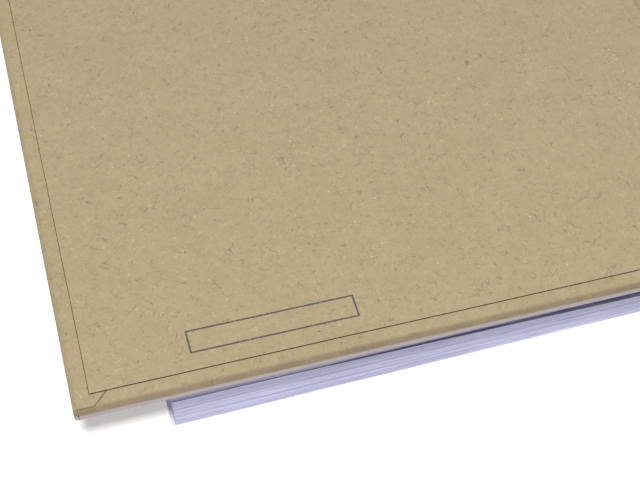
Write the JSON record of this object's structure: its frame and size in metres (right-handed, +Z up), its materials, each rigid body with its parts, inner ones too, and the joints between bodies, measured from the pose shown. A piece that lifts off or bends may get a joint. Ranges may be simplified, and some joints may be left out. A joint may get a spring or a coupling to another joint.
{
  "type": "pocket notebook",
  "caption": "Hardcover pocket notebook in kraft paper over grey board, its front cover folded right round behind the white sewn leaves.",
  "frame": {"origin": "middle of the first leaf's outer face, on which the notebook lies", "axes": "+X from the fore-edge to the spine, +Y from tail to head, +Z up, away from the leaves' face"},
  "size_m": [0.1224, 0.153, 0.0155],
  "materials": {
    "kraft": "matte",
    "kraft_lining": "matte",
    "grey_board": "matte",
    "leaf_paper": "matte",
    "liner_paper": "matte",
    "cotton": "matte"
  },
  "bodies": {
    "leaves_and_back": {"first_leaf": "leaf_paper", "section_1": "leaf_paper", "section_2": "leaf_paper", "section_3": "leaf_paper", "section_4": "leaf_paper", "section_5": "leaf_paper", "section_6": "leaf_paper", "last_leaf": "leaf_paper", "sewing_thread": "cotton", "spine_gauze": "cotton", "spine_liner": "liner_paper", "back_lining": "kraft_lining", "back_wrap": "kraft", "back_board": "grey_board", "back_joint_paper": "kraft"},
    "spine_strip": {"spine_wrap": "kraft", "spine_board": "grey_board", "spine_strip_lining": "kraft_lining", "front_joint_paper": "kraft"},
    "front_cover": {"front_wrap": "kraft", "front_board": "grey_board", "front_lining": "kraft_lining"}
  },
  "joints": [
    {"name": "back_joint", "type": "hinge", "parent": "leaves_and_back", "child": "spine_strip", "pos_m": [0.05638, 0, 0.01287], "axis": [0, 1, 0], "range_deg": [0, 270], "deforming": ["back_joint_paper"]},
    {"name": "front_joint", "type": "hinge", "parent": "spine_strip", "child": "front_cover", "pos_m": [0.04341, 0, 0.0155], "axis": [0, 1, 0], "range_deg": [0, 90.42], "deforming": ["front_joint_paper"]}
  ]
}
